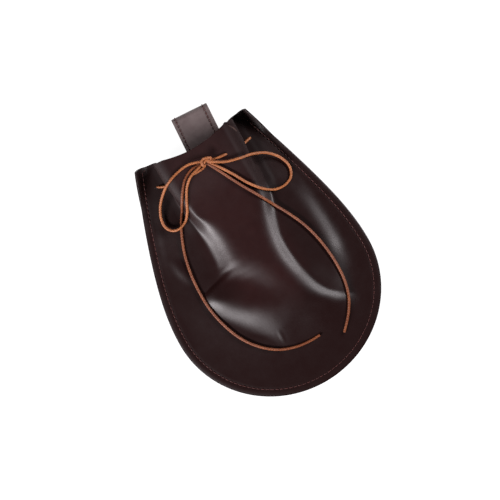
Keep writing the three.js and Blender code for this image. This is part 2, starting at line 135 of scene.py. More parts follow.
def wall_pattern(columns, upper_rows, lower_rows, rim_steps):
    """Points and faces of the flat pattern: a grid in the middle, and rows that follow the edge."""
    across = np.linspace(-CORE, CORE, columns + 1)
    down = np.r_[np.linspace(1, 0, upper_rows + 1), np.linspace(0, -CORE, lower_rows + 1)[1:]]
    core_across, core_down = np.meshgrid(across, down)
    core_x, core_y = plan_point(core_across, core_down)
    core = np.arange(core_x.size).reshape(core_x.shape)
    border = np.r_[core[:, 0], core[-1, 1:-1], core[::-1, -1]]
    x, y = core_x.ravel()[border], core_y.ravel()[border]
    side, row = np.sign(core_across.ravel()[border]), core_down.ravel()[border]
    inner = np.linspace(inset(x, y), np.full(x.shape, RIM_ROWS[0]), rim_steps + 1)[1:]
    insets = np.vstack([inner, np.repeat(RIM_ROWS[1:, None], len(x), 1)])
    upper_half = half_width(y_widest + (y_mouth - y_widest) * row)
    upper_x, upper_y = plan_point(side * (1 - insets / upper_half), row)
    reach = np.hypot(x / half_body, (y - y_widest) / BOTTOM_DEPTH)
    shrink = (1 - insets / half_body) / reach
    lower_x, lower_y = x * shrink, y_widest + (y - y_widest) * shrink
    rim_x = np.where(row >= 0, upper_x, lower_x)
    rim_y = np.where(row >= 0, upper_y, lower_y)
    rim = core.size + np.arange(rim_x.size).reshape(rim_x.shape)
    faces = np.vstack([quads_of(core), quads_of(np.vstack([border, rim]))])
    return np.r_[core_x.ravel(), rim_x.ravel()], np.r_[core_y.ravel(), rim_y.ravel()], faces


def new_piece(name, points, faces):
    """A mesh object in the scene."""
    mesh = bpy.data.meshes.new(name)
    mesh.from_pydata(np.asarray(points).tolist(), [], [list(face) for face in faces])
    piece = bpy.data.objects.new(name, mesh)
    bpy.context.scene.collection.objects.link(piece)
    return piece


def select_only(*pieces):
    """Select these and nothing else, with the first one active."""
    bpy.ops.object.select_all(action="DESELECT")
    for piece in pieces:
        piece.select_set(True)
    bpy.context.view_layer.objects.active = pieces[0]


def apply_modifiers(piece):
    select_only(piece)
    for modifier in list(piece.modifiers):
        bpy.ops.object.modifier_apply(modifier=modifier.name)


def thicken(piece, thickness, rounding):
    """A sheet becomes a closed wall with rounded edges; the inner face takes the second material."""
    solid = piece.modifiers.new("Thickness", "SOLIDIFY")
    solid.thickness = thickness
    solid.offset = 0
    solid.material_offset = 1
    edge = piece.modifiers.new("Rounded edge", "BEVEL")
    edge.width = rounding
    edge.segments = 3
    edge.limit_method = "ANGLE"
    edge.angle_limit = math.radians(60)
    apply_modifiers(piece)


def points_and_normals(piece):
    count = len(piece.data.vertices)
    points = np.empty(count * 3)
    normals = np.empty(count * 3)
    piece.data.vertices.foreach_get("co", points)
    piece.data.vertices.foreach_get("normal", normals)
    return points.reshape(-1, 3), normals.reshape(-1, 3)


def move_points(piece, points):
    piece.data.vertices.foreach_set("co", points.ravel())
    piece.data.update()


GROOVE_DEPTH = 0.25 * MM
GROOVE_HALF = 1.1 * MM
EDGE_DROP = 0.55 * MM  # how far the cut edge is rubbed down
EDGE_REACH = 4 * MM
FACING = (0.1, 0.5)  # a face counts as the outer one as its normal turns outward between these


def press_seam(piece, outward):
    """The sewing draws a shallow groove into the outer face, and the cut edge is rubbed round."""
    points, normals = points_and_normals(piece)
    from_edge = inset(points[:, 0], points[:, 1])
    groove = GROOVE_DEPTH * np.exp(-(((from_edge - SEAM_MARGIN) / GROOVE_HALF) ** 2))
    drop = EDGE_DROP * (1 - np.clip(from_edge / EDGE_REACH, 0, 1)) ** 2
    outside = ease(normals[:, 2] * outward, *FACING)
    move_points(piece, points - normals * ((groove + drop) * outside)[:, None])


class Wire:
    """An output of a material's node. Sums and products with wires or numbers add their Math nodes."""

    def __init__(self, tree, socket=None):
        self.tree = tree
        self.socket = socket

    def node(self, kind, settings=None, sockets=None, output=0):
        """A new node with its settings made first, then its sockets set or linked."""
        made = self.tree.nodes.new("ShaderNode" + kind)
        for name, value in (settings or {}).items():
            setattr(made, name, value)
        for name, value in (sockets or {}).items():
            if isinstance(value, Wire):
                self.tree.links.new(value.socket, made.inputs[name])
            else:
                made.inputs[name].default_value = value
        return Wire(self.tree, made.outputs[output])

    def maths(self, operation, first, second=0.0):
        return self.node("Math", {"operation": operation}, {0: first, 1: second})

    def __add__(self, other):
        return self.maths("ADD", self, other)

    __radd__ = __add__

    def __sub__(self, other):
        return self.maths("SUBTRACT", self, other)

    def __rsub__(self, other):
        return self.maths("SUBTRACT", other, self)

    def __mul__(self, other):
        return self.maths("MULTIPLY", self, other)

    __rmul__ = __mul__

    def between(self, low, high):
        """0 where this is low or less, 1 where it is high or more."""
        return self.node("MapRange", {"interpolation_type": "SMOOTHSTEP"}, {0: self, 1: low, 2: high})

    def mix(self, colour_at_0, colour_at_1):
        return self.node("Mix", {"data_type": "RGBA"}, {0: self, 6: colour_at_0, 7: colour_at_1}, 2)


def new_material(name):
    """A material, its shader node and a wire to start its other nodes from."""
    material = bpy.data.materials.new(name)
    material.use_nodes = True
    shader = next(node for node in material.node_tree.nodes if node.type == "BSDF_PRINCIPLED")
    return material, shader, Wire(material.node_tree)


def feed(shader, socket, wire):
    wire.tree.links.new(wire.socket, shader.inputs[socket])


def feed_bump(shader, height):
    """Fine relief; the height is in millimetres."""
    feed(shader, "Normal", height.node("Bump", None, {"Strength": 1.0, "Distance": MM, "Height": height}))


def noise(place, size, detail=2.0):
    """Cloudy noise with spots of about that size in metres."""
    return place.node("TexNoise", None, {"Vector": place, "Scale": 1 / size, "Detail": detail})


PORE = 1.1 * MM
# Painted shade: the leather's colour darkens over these distances from the middle, out to the sides and down
# to the bottom, where less lamp light falls.
PAINTED_SHADE_TURNS = {"out": (12 * MM, 44 * MM), "down": (30 * MM, 70 * MM)}  # distances from the middle
MOUTH_DULLS = (50 * MM, 66 * MM)  # the gloss is a little less above these heights
ABOVE_ALL = (1.0, 2.0)  # heights in metres that nothing reaches
MATT_CRESTS = [
    # side, where the crest of its mouth fold starts and ends, and how matt it is
    (-1, (23 * MM, 29 * MM), (34 * MM, 40 * MM), 0.22),
    (1, (29 * MM, 35 * MM), (43 * MM, 49 * MM), 0.5),
]


def grain_leather(name, dark, light, painted_shade_colour, gloss, handled=ABOVE_ALL):
    """Smooth top-grain leather: fine pores, a cloudy dye, painted shade and a gloss that is rubbed unevenly.

    Away from the upper middle the colour turns to its third colour, a painted shade for the sides and the
    bottom, where less lamp light falls. Above the two heights of handled the crests of the mouth folds are
    matt, as leather turns where it is often folded.
    """
    material, shader, wire = new_material(name)
    place = wire.node("TexCoord", output=3)
    clouds = noise(place, 22 * MM)
    streaks = noise(place, 5 * MM, 4)
    dye = (clouds * 0.6 + streaks * 0.4).between(0.3, 0.7)
    across = wire.node("SeparateXYZ", None, {0: place}, 0)
    from_middle = wire.maths("ABSOLUTE", across)
    height_up = wire.node("SeparateXYZ", None, {0: place}, 1)
    away = from_middle.between(*PAINTED_SHADE_TURNS["out"]) + (0 - height_up).between(*PAINTED_SHADE_TURNS["down"])
    # the cloudy dye, turned into painted shade away from the upper middle
    feed(shader, "Base Color", away.mix(dye.mix(dark, light), painted_shade_colour))
    cells = {"Vector": place, "Scale": 1 / PORE}
    pits = wire.node("TexVoronoi", {"feature": "DISTANCE_TO_EDGE"}, cells).between(0.0, 0.22)
    rubbed = noise(place, 9 * MM, 3)
    crests = 0
    for side, starts, ends, matt in MATT_CRESTS:
        outwards = across * side
        crests = crests + (outwards.between(*starts) - outwards.between(*ends)) * matt
    dulled = height_up.between(*handled) * crests + height_up.between(*MOUTH_DULLS) * 0.08
    feed(shader, "Roughness", gloss + (rubbed - 0.5) * 0.1 + (1 - pits) * 0.03 + dulled)
    feed_bump(shader, pits * 0.005 + noise(place, 7 * MM) * 0.05 + noise(place, 1.7 * MM) * 0.008)
    shader.inputs["Specular IOR Level"].default_value = 0.45
    return material


def flesh_leather(name, dark, light):
    """The rough inner face of leather: matt, with short raised fibres."""
    material, shader, wire = new_material(name)
    place = wire.node("TexCoord", output=3)
    fibres = noise(place, 1.2 * MM, 6)
    cloudy = noise(place, 14 * MM, 3) * 0.5 + fibres * 0.5
    feed(shader, "Base Color", cloudy.between(0.3, 0.7).mix(dark, light))
    feed_bump(shader, fibres * 0.25)
    shader.inputs["Roughness"].default_value = 0.85
    return material


# The walls' third colour is painted shade, for their sides and bottom.
wall_grain = grain_leather(
    "pouch leather", dark=(0.021, 0.0056, 0.0056, 1), light=(0.026, 0.0076, 0.0074, 1),
    painted_shade_colour=(0.0125, 0.003, 0.0028, 1), gloss=0.37, handled=(30 * MM, 46 * MM),
)
wall_flesh = flesh_leather("pouch leather inside", (0.045, 0.021, 0.016, 1), (0.075, 0.038, 0.029, 1))
WALL_ROUNDING = 0.7 * MM


def leather_wall(name, surface, outward, columns, upper_rows, lower_rows, rim_steps):
    """A wall of the pouch over its surface; outward is 1 for the front and -1 for the back."""
    x, y, faces = wall_pattern(columns, upper_rows, lower_rows, rim_steps)
    wall = new_piece(name, np.column_stack(surface(x, y)), faces if outward > 0 else faces[:, ::-1])
    wall.data.materials.append(wall_grain)
    wall.data.materials.append(wall_flesh)
    thicken(wall, LEATHER, WALL_ROUNDING)
    press_seam(wall, outward)
    return wall


def dress(piece, node):
    """The piece is attached to the pouch's one body, and the CAD node that it stands for is hidden."""
    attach(piece, "root")
    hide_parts(node)


back_wall = leather_wall(
    "back_wall", back_surface, -1, columns=60, upper_rows=84, lower_rows=30, rim_steps=8
)
dress(back_wall, "back_panel")

# The belt loop
# A strap of stiffer leather bent double, so that a belt passes between its legs. Both legs are sewn
# to the back wall at their lower ends, and a row of thread runs along each long edge.
STRAP_WIDTH = 32.6 * MM
STRAP_THICKNESS = 2.2 * MM
STRAP_ROUNDING = 0.6 * MM
STRAP_BEND = 3.6 * MM  # radius of the fold at the top
STRAP_FOOT = np.array([9 * MM, 58 * MM])  # middle of its lower end, behind the back wall
STRAP_OPENS = 28 * MM  # the legs have come apart this far up from the foot
STRAP_STEPS = 40
STRAP_TURN_STEPS = 15
STRAP_COLUMNS = 25
STRAP_LEAN = math.radians(-3.7)  # to the right
strap_corner = STRAP_WIDTH / 2 * math.sin(-STRAP_LEAN)
strap_reach = (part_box("belt_loop")[1].y - STRAP_FOOT[1] - strap_corner) / math.cos(STRAP_LEAN)


def strap_front_leg(along):
    """Height of the front leg's middle line, close under the back wall."""
    under_wall = back_height(STRAP_MIDDLE, STRAP_FOOT[1] + along - strap_corner) - LEATHER / 2 - SEAM_GAP
    return under_wall - STRAP_THICKNESS / 2


def strap_line():
    """The strap from the side: along the front leg, round the fold and back along the rear leg."""
    straight = strap_reach - STRAP_BEND - STRAP_THICKNESS / 2
    front = np.linspace(0, straight, STRAP_STEPS)
    turn = np.linspace(math.pi / 2, -math.pi / 2, STRAP_TURN_STEPS)[1:-1]
    rear = front[::-1]
    lowest = STRAP_THICKNESS / 2
    lies_up = ease(rear, STRAP_OPENS, STRAP_OPENS / 2)
    rear_height = lowest + (strap_front_leg(rear) - STRAP_THICKNESS - SEAM_GAP - lowest) * lies_up
    along = np.r_[front, straight + STRAP_BEND * np.cos(turn), rear]
    up = np.r_[strap_front_leg(front), lowest + STRAP_BEND * (1 + np.sin(turn)), rear_height]
    return along, up


def strap_place(across, along, up):
    """A place on the strap, leaning a little to the right, in the frame."""
    x = STRAP_FOOT[0] + across * math.cos(STRAP_LEAN) - along * math.sin(STRAP_LEAN)
    y = STRAP_FOOT[1] + across * math.sin(STRAP_LEAN) + along * math.cos(STRAP_LEAN)
    return np.stack([x, y, up], -1)


SHARP_EDGE = math.radians(50)  # an edge that turns by more than this stays sharp


def smooth(piece):
    """Shade a piece smooth between its sharp edges."""
    select_only(piece)
    bpy.ops.object.shade_smooth_by_angle(angle=SHARP_EDGE)


line_along, line_up = strap_line()
strap_across = np.linspace(-STRAP_WIDTH / 2, STRAP_WIDTH / 2, STRAP_COLUMNS)
grid_across, grid_along = np.meshgrid(strap_across, line_along)
grid_up = np.repeat(line_up[:, None], STRAP_COLUMNS, 1)
strap_points = strap_place(grid_across, grid_along, grid_up).reshape(-1, 3)
strap_numbers = np.arange(len(strap_points)).reshape(grid_across.shape)
strap = new_piece("strap", strap_points, quads_of(strap_numbers)[:, ::-1])
# The strap is the same leather as the walls: its lighter, greyer colours are a painted sheen, the lamp light
# that its flat face reflects.
strap_grain_and_sheen = grain_leather(
    "strap leather", dark=(0.135, 0.1, 0.098, 1), light=(0.19, 0.15, 0.146, 1),
    painted_shade_colour=(0.162, 0.125, 0.12, 1), gloss=0.46,
)
strap.data.materials.append(strap_grain_and_sheen)
strap.data.materials.append(wall_flesh)
thicken(strap, STRAP_THICKNESS, STRAP_ROUNDING)
smooth(strap)
dress(strap, "belt_loop")

# The front wall
# The same leather, cut wider so that it domes over the hollow. The drawstring gathers it at the mouth,
# where a fold sinks in on each side of a middle that stands forward, and it has sunk in two dents.
MIDDLE = np.array([
    # y, height of the wall's middle line, how far the steps are folded over
    [110, 27, 1],
    [80, 27, 1],
    [60, 21.5, 0.5],
    [42, 16.4, 0],
    [20, 15.2, 0],
    [0, 15.4, 0],
    [-40, 16, 0],
    [-58, 14.6, 0],
    [-74, 10, 0],
    [-88, 5.2, 0],
    [-98, 3, 0],
]) * [MM, MM, 1]
LEFT_RAMPS = {
    # rows of y, x of the ramp's middle, its width, and its rise beside the other ramps of its side
    "outer slope": [
        [100, -46, 24, 0.3], [60, -52, 44, 1.2], [45, -54, 56, 1.8], [20, -55, 64, 2.2], [0, -56, 62, 2],
        [-14, -60, 52, 2], [-40, -62, 44, 2.2], [-58, -54, 50, 2], [-76, -40, 60, 2],
    ],
    "step": [
        [100, -32.5, 14, 18], [80, -32, 14, 18], [66, -31, 15, 12], [56, -28.5, 14, 6], [45, -25.3, 11, 2],
        [30, -17, 26, 1.6], [15, -14.5, 32, 2.2], [0, -14.3, 36, 2.2], [-6, -17, 32, 2.4],
        [-9.5, -27, 26, 2.4], [-12, -38, 22, 2.5], [-15, -44, 20, 2.6], [-20, -45, 20, 2.8],
        [-25, -42, 24, 3.8], [-35, -32, 40, 5.8], [-50, -14.5, 56, 9], [-60, -6.5, 58, 8.8],
        [-70, -8.5, 34, 3.6], [-78, -8, 26, 1.6],
    ],
    "inner rise": [
        [100, -28, 14, 0], [66, -29, 14, 0], [56, -28, 14, 0.6], [45, -25.3, 11, 1.5], [30, -17, 26, 3.2],
        [15, -14.5, 32, 5.4], [0, -14.3, 36, 6.4], [-5, -14.5, 44, 6.6], [-10, -14, 50, 6.8],
        [-14, -11, 48, 6.2], [-20, -6, 40, 4.6], [-35, 2, 34, 3.2], [-50, 6, 34, 1.4], [-60, 10, 34, 1.4],
        [-76, 10, 36, 2],
    ],
}
RIGHT_RAMPS = {
    "step": [
        [100, 39.5, 14, 18], [80, 39, 14, 18], [66, 38, 15, 12], [56, 36.5, 14, 6.6], [45, 34, 12, 3.6],
        [30, 29.4, 18, 4.8], [15, 22.4, 24, 5], [0, 18.7, 23, 4.7], [-10, 18.2, 22, 4.6],
        [-20, 18.4, 22, 4.7], [-35, 20.2, 23, 5.5], [-50, 24.5, 22, 7.8], [-60, 30, 22, 9.2],
        [-66, 35, 24, 7.6], [-70, 38.5, 26, 5.6], [-75, 46, 28, 3],
    ],
    "dent floor": [
        [100, 46, 36, 0], [60, 46, 44, 1], [45, 44, 52, 1.8], [30, 44, 56, 1.8], [15, 46, 58, 2],
        [-30, 46, 56, 2], [-45, 43, 38, 5.2], [-60, 47, 36, 6.6], [-76, 50, 44, 5],
    ],
    "outer slope": [
        [100, 56, 16, 0.3], [60, 58, 34, 0.8], [45, 58, 36, 0.8], [30, 62, 27, 1.1], [15, 63.5, 22, 2.3],
        [0, 64.5, 21, 2.9], [-20, 65, 21, 3.3], [-35, 64, 23, 5.3], [-50, 61, 27, 6.4], [-60, 57, 34, 5.6],
        [-76, 44, 50, 4],
    ],
}
OFF_POUCH = 200  # a y that the pouch doesn't reach, up or down
SHARP_ABOVE = {"step": -OFF_POUCH, "inner rise": -14}  # y from where a ramp is steepest near its foot
SHARP_EASE = 14  # over this length it turns so
FOLD_FOOT = 0.28  # share of a folded ramp that stays level at its foot
FOLD_LEAN = 0.25  # share of its width by which a folded step leans over
DENTS = {
    # x, y, half length, half width, turn in degrees, rise
    "left crease": (-49, -12, 11, 3, 82, -0.35),
    "left outer fold": (-57, 12, 17, 7, -12, 1),
    "bottom crease": (-13, -75, 8, 2.4, 4, 0.3),
}


def along_rows(table, column, y):
    """A column of a table at y, on a smooth curve through its rows."""
    rows, values = table[::-1, 0], table[::-1, column]
    last = len(rows) - 1
    after, before = np.minimum(np.arange(last + 1) + 1, last), np.maximum(np.arange(last + 1) - 1, 0)
    slopes = (values[after] - values[before]) / (rows[after] - rows[before])
    y = np.clip(y, rows[0], rows[last])
    i = np.clip(np.searchsorted(rows, y, "right") - 1, 0, last - 1)
    span = rows[i + 1] - rows[i]
    t = (y - rows[i]) / span
    bend = span * t * (1 - t) * ((1 - t) * slopes[i] - t * slopes[i + 1])
    return values[i] + (values[i + 1] - values[i]) * t * t * (3 - 2 * t) + bend


def up_ramp(rows, side, x, y):
    """How far up a ramp x lies, from 0 to 1, with the ramp's width and rise there."""
    middle, width, rise = (along_rows(np.array(rows) * MM, column, y) for column in (1, 2, 3))
    return np.clip(side * (middle - x) / width + 0.5, 0, 1), width, rise


def climb(ramps, side, x, y):
    """Share of its full height that the wall has at x, after the ramps of one side."""
    folded = along_rows(MIDDLE, 2, y)
    climbed, full = 0, 0
    for name, rows in ramps.items():
        up, _, rise = up_ramp(rows, side, x, y)
        t = np.clip((up - FOLD_FOOT * folded) / (1 - FOLD_FOOT * folded), 0, 1)
        even = t**3 * (10 - 15 * t + 6 * t * t)
        early = 1 - (1 - t) ** 4 * (1 + 4 * t)
        from_y = SHARP_ABOVE.get(name, OFF_POUCH)
        sharp = (1 - folded) * ease(y, from_y * MM, (from_y + SHARP_EASE) * MM)
        climbed = climbed + rise * (even + (early - even) * sharp)
        full = full + rise
    return climbed / full


def fold_shift(ramps, side, x, y):
    """How far a place moves in the plan where the step is folded over its own foot."""
    up, width, _ = up_ramp(ramps["step"], side, x, y)
    return -side * along_rows(MIDDLE, 2, y) * width * FOLD_LEAN * np.sin(2 * math.pi * up)


def dents_rise(x, y):
    """How far the small creases and the outer fold raise the wall."""
    total = np.zeros(np.shape(x))
    for dent_x, dent_y, length, width, turn, rise in DENTS.values():
        sine, cosine = math.sin(math.radians(turn)), math.cos(math.radians(turn))
        off_x, off_y = x - dent_x * MM, y - dent_y * MM
        along = (off_y * cosine + off_x * sine) / (length * MM)
        across = (off_x * cosine - off_y * sine) / (width * MM)
        total = total + rise * MM * np.maximum(1 - along**2 - across**2, 0) ** 2
    return total


def front_surface(x, y):
    """The front wall's middle surface over places of the plan."""
    raised = climb(LEFT_RAMPS, -1, x, y) * climb(RIGHT_RAMPS, 1, x, y)
    apart = ease(inset(x, y), SEAM_MARGIN, SEAM_EASE)
    x = x + fold_shift(LEFT_RAMPS, -1, x, y) + fold_shift(RIGHT_RAMPS, 1, x, y)
    tilt_x = (back_height(x + TINY, y) - back_height(x - TINY, y)) / (2 * TINY)
    tilt_y = (back_height(x, y + TINY) - back_height(x, y - TINY)) / (2 * TINY)
    on_back = back_height(x, y) + (LEATHER + SEAM_GAP) * np.sqrt(1 + tilt_x**2 + tilt_y**2)
    dome = np.maximum(along_rows(MIDDLE, 1, y) - on_back, 0) * raised
    return x, y, on_back + apart * (dome + dents_rise(x, y))


front_wall = leather_wall(
    "front_wall", front_surface, 1, columns=90, upper_rows=122, lower_rows=44, rim_steps=10
)
dress(front_wall, "front_panel")

# The drawstring
# Three plies of waxed cord, twisted. It runs from the knot through a hole on each side, shows in the
# mouth folds, makes one stitch on each side of the back and closes the mouth inside.
CORD = 2.2 * MM
HOLE = 3.4 * MM
HOLE_SIDES = 16
PUNCH_STEP = 1.5 * MM
SPLINE_STEPS = 24
FEWEST_STEPS = 8
RUN = np.array([
    [0.8, 76.7, 29], [-5, 76.4, 29], [-9, 76.5, 28.3], [-11.4, 76.7, 26], [-12.6, 77, 22.6],
    [-17, 77.8, 18], [-25, 79, 13.4], [-33, 80.3, 10.8], [-36.5, 81.4, 9.6], [-39.5, 83, 8.2],
    [-42.3, 84.2, 6.2], [-45, 84.8, 3.6], [-47.6, 83.6, 2.2], [-48.2, 81.4, 2], [-46.4, 79.4, 2],
    [-42, 78.8, 2], [-36, 78.8, 2.6], [-31.5, 79, 5], [-27, 79.4, 7.6], [-19, 80, 10.4],
    [-9, 80.4, 13.8], [8, 80.2, 13.9], [24, 79.6, 13.9], [32, 79, 12.9], [36.6, 78.6, 9.4],
    [40.5, 78.2, 5], [45, 78, 2.7], [50, 78, 2.1], [53.6, 79, 2.1], [54.6, 81, 2.3],
    [53, 82.4, 3.2], [50.4, 82, 4.8], [48, 81, 6.6], [45.6, 80.2, 8.4], [43, 79.6, 9.6],
    [39.5, 78.6, 11], [33, 77.8, 13.8], [26.8, 77.4, 18.4], [24.4, 77.3, 22.6], [23, 77.3, 26],
    [20.4, 77.6, 28.3], [16, 78, 29], [9, 79, 29],
]) * MM


def smooth_route(points, step):
    """A smooth line through the points, with a point every step along it."""
    line = np.vstack([2 * points[0] - points[1], points, 2 * points[-1] - points[-2]])
    t = np.linspace(0, 1, SPLINE_STEPS, endpoint=False)[:, None]
    stretches = []
    for a, b, c, d in zip(line, line[1:], line[2:], line[3:]):
        ab, bc, cd = (math.sqrt(np.linalg.norm(q - p)) for p, q in ((a, b), (b, c), (c, d)))
        leaves = ((b - a) / ab - (c - a) / (ab + bc) + (c - b) / bc) * bc
        arrives = ((c - b) / bc - (d - b) / (bc + cd) + (d - c) / cd) * bc
        start = b * (2 * t**3 - 3 * t**2 + 1) + leaves * (t**3 - 2 * t**2 + t)
        stretches.append(start + c * (3 * t**2 - 2 * t**3) + arrives * (t**3 - t**2))
    return even_route(np.vstack([*stretches, points[-1:]]), step)


def travel(line):
    """How far along a line each of its points lies."""
    return np.r_[0, np.cumsum(np.linalg.norm(np.diff(line, axis=0), axis=1))]


def along_line(places, travelled, line):
    """The line's columns at places along it."""
    return np.column_stack([np.interp(places, travelled, column) for column in line.T])


def even_route(line, step):
    """The same line with its points spread evenly."""
    travelled = travel(line)
    places = np.linspace(0, travelled[-1], max(int(travelled[-1] / step), FEWEST_STEPS) + 1)
    return along_line(places, travelled, line)


NO_START = [0.3, 0.2, 1]  # a direction that no line starts in


def tube_frames(line):
    """Two directions square to the line at each point, carried along without twisting."""
    tangents = np.gradient(line, axis=0)
    tangents /= np.linalg.norm(tangents, axis=1)[:, None]
    first = np.cross(tangents[0], NO_START)
    sides = [first / np.linalg.norm(first)]
    for tangent in tangents[1:]:
        side = sides[-1] - tangent * (sides[-1] @ tangent)
        sides.append(side / np.linalg.norm(side))
    sides = np.array(sides)
    return sides, np.cross(tangents, sides)


def ring(sides):
    """Angles of a ring's points."""
    return np.arange(sides) * 2 * math.pi / sides


def tube_mesh(line, angles, radii):
    """Points and faces of a closed tube round a line; angles and radii are rows of a ring each."""
    across, up = tube_frames(line)
    count, sides = angles.shape
    rings = across[:, None] * np.cos(angles)[..., None] + up[:, None] * np.sin(angles)[..., None]
    points = (line[:, None] + rings * radii[..., None]).reshape(-1, 3)
    numbers = np.arange(count * sides).reshape(count, sides)
    faces = quads_of(np.hstack([numbers, numbers[:, :1]])).tolist()
    ends = len(points) + np.arange(2)
    faces += [[ends[0], numbers[0, (i + 1) % sides], numbers[0, i]][::-1] for i in range(sides)]
    faces += [[ends[1], numbers[-1, (i + 1) % sides], numbers[-1, i]] for i in range(sides)]
    return np.vstack([points, line[:1], line[-1:]]), faces


PLIES = 3
LAY = 7 * MM  # one full turn of a ply
CORD_STEP = 0.55 * MM
CORD_SIDES = 15
PLY_DEPTH = 0.16  # depth of the grooves between the plies, as a share of the cord's half width
PLY_CROWN = 1.05  # the plies' crowns reach out to this share of it


def twisted_cord(name, line):
    """A cord of twisted plies round a line."""
    turned = np.arange(len(line)) * CORD_STEP / LAY * 2 * math.pi
    angles = ring(CORD_SIDES)[None] + turned[:, None]
    ply = 1 - PLY_DEPTH + PLY_DEPTH * np.abs(np.cos(ring(CORD_SIDES) * PLIES / 2))
    radii = np.repeat(CORD / 2 * PLY_CROWN * ply[None], len(line), 0)
    points, faces = tube_mesh(line, angles, radii)
    return new_piece(name, points, faces)


def punch(wall, line):
    """Holes where the drawstring goes through a wall."""
    angles = np.repeat(ring(HOLE_SIDES)[None], len(line), 0)
    points, faces = tube_mesh(line, angles, np.full(angles.shape, HOLE / 2))
    cutter = new_piece("punch", points, faces)
    cut = wall.modifiers.new("Holes", "BOOLEAN")
    cut.object = cutter
    cut.solver = "MANIFOLD"
    apply_modifiers(wall)
    bpy.data.objects.remove(cutter)


def cord_fibre(name, dark, light):
    """Waxed twisted cord with fine fibres, worn lighter in places."""
    material, shader, wire = new_material(name)
    place = wire.node("TexCoord", output=3)
    fibres = noise(place, 0.5 * MM, 4)
    worn = noise(place, 9 * MM, 3)
    feed(shader, "Base Color", (fibres * 0.5 + worn * 0.5).between(0.32, 0.68).mix(dark, light))
    feed_bump(shader, fibres * 0.12)
    shader.inputs["Roughness"].default_value = 0.5
    return material


def finish_cord(piece, material, node):
    """Give a stretch of cord its material and its place."""
    piece.data.materials.append(material)
    smooth(piece)
    dress(piece, node)


for wall in (front_wall, back_wall):
    punch(wall, smooth_route(RUN, PUNCH_STEP))
    smooth(wall)
drawstring = twisted_cord("drawstring", smooth_route(RUN, CORD_STEP))
cord_material = cord_fibre("waxed cord", (0.32, 0.102, 0.035, 1), (0.52, 0.185, 0.063, 1))
finish_cord(drawstring, cord_material, "drawstring_run")

# The bow
# The same cord's two ends are tied over the middle of the mouth: two loops, a knot, and two tails that lie
# down the front and end where the cord was cut. The tails' cord is painted darker, as shade.
CLEARANCE = 0.15 * MM
FOLD_REACH = 4 * MM  # no fold of the front wall leans further than this
TOUCH_STEP = 0.4 * MM  # between the places where a cord is tried against the wall, across the folds
TOUCH_ROWS = 7  # of such places, along them
HELD_UP = (0.1 * MM, 0.9 * MM)  # lifts between which a cord comes free of the wall
BEND_STEPS = 8  # along the cord, either way, over which its stiffness evens out its height
FINISH_STEPS = 3
BOW = {
    # x, y, and how far the cord is lifted off the wall where it crosses another stretch or a fold
    "loop_left": [
        [2.6, 81.6, 2.4], [-2.4, 83.3, 2.4], [-9, 85, 2.2], [-19.1, 84, 1.4], [-29.3, 80.8, 1.6],
        [-38.5, 75.5, 12], [-46.3, 67.6, 6], [-50.8, 58.5, 2.6], [-51.3, 51.4, 1.4], [-47.8, 45.9, 2],
        [-42, 44.2, 4], [-34.8, 46.7, 1.6], [-29.1, 52.8, 0.6], [-24.6, 61, 0.4], [-19.2, 69.6, 0.8],
        [-12, 75.6, 2.9], [-3.4, 78.4, 2.9], [1.6, 79.8, 2.4],
    ],
    "loop_right": [
        [5.6, 80, 2.2], [9.4, 77.3, 2.4], [18.4, 72.4, 1.2], [29.7, 69.1, 2.4], [42.2, 66.9, 10],
        [52.6, 62.1, 4], [60, 53.9, 1.4], [63.1, 44, 0.4], [59.8, 35.8, 0.2], [51.5, 32.2, 0.2],
        [42, 33.5, 0.2], [33.8, 39.2, 0.2], [26, 48.7, 0.2], [19.5, 59.9, 0.2], [12.9, 70, 0.3],
        [9.4, 75, 0.4], [6, 79.4, 0.9],
    ],
    "tail_left": [
        [1.4, 80.6, 0.8], [-2.6, 80.9, 0.2], [-9, 80.3, 0], [-16.7, 76.5, 0], [-24.1, 68.5, 0.4],
        [-29.9, 59.8, 0.5], [-35.7, 51.4, 0], [-40.2, 44.1, 0], [-45, 33.9, 0], [-49.1, 22.6, 0],
        [-52.5, 7.1, 0], [-53.9, -9.4, 0], [-53.4, -25.9, 0], [-50.1, -42.5, 0], [-43.7, -59.1, 0],
        [-34, -72.7, 0], [-21.5, -83, 0], [-7.1, -88.6, 0], [5.4, -90.2, 0], [15, -90, 0],
    ],
    "tail_right": [
        [4.2, 80, 1], [6.2, 76.4, 0.2], [11, 67.5, 0], [15.8, 58.2, 0], [21, 48.6, 0], [28.1, 36.5, 0.5],
        [35.6, 23.4, 0.2], [42.9, 10.2, 0], [49, -3.2, 0], [53.3, -17.7, 0], [55.6, -32.2, 0],
        [56.4, -46.6, 0], [55.4, -61.1, 0], [51.9, -73.6, 0], [45.8, -84.4, 0], [39.6, -92, 0],
        [33.6, -98.3, 0],
    ],
}


def upward_normals(surface, x, y):
    """Points of a wall's middle surface, and the directions square to it on its upper side."""
    middle = np.stack(surface(x, y), -1)
    along_x = np.stack(surface(x + TINY, y), -1) - np.stack(surface(x - TINY, y), -1)
    along_y = np.stack(surface(x, y + TINY), -1) - np.stack(surface(x, y - TINY), -1)
    normal = np.cross(along_x, along_y)
    return middle, normal / np.linalg.norm(normal, axis=-1)[..., None]


def resting_height(x, y):
    """Height at which a cord's middle rests on the front wall, as a ball of its size would."""
    reach = CORD / 2 + CLEARANCE
    across = np.arange(-reach - FOLD_REACH, reach + FOLD_REACH, TOUCH_STEP)
    along = np.linspace(-reach, reach, TOUCH_ROWS)
    off_x, off_y = np.meshgrid(across, along)
    middle, upward = upward_normals(front_surface, x[:, None] + off_x.ravel(), y[:, None] + off_y.ravel())
    touch = middle + upward * LEATHER / 2
    room = reach**2 - (touch[..., 0] - x[:, None]) ** 2 - (touch[..., 1] - y[:, None]) ** 2
    return np.where(room > 0, touch[..., 2] + np.sqrt(np.maximum(room, 0)), 0).max(1)


def soften(values, reach):
    """Values evened out along a cord, as its stiffness does."""
    window = np.hanning(2 * reach + 3)[1:-1]
    padded = np.pad(values, reach, "edge")
    return np.convolve(padded, window / window.sum(), "valid")


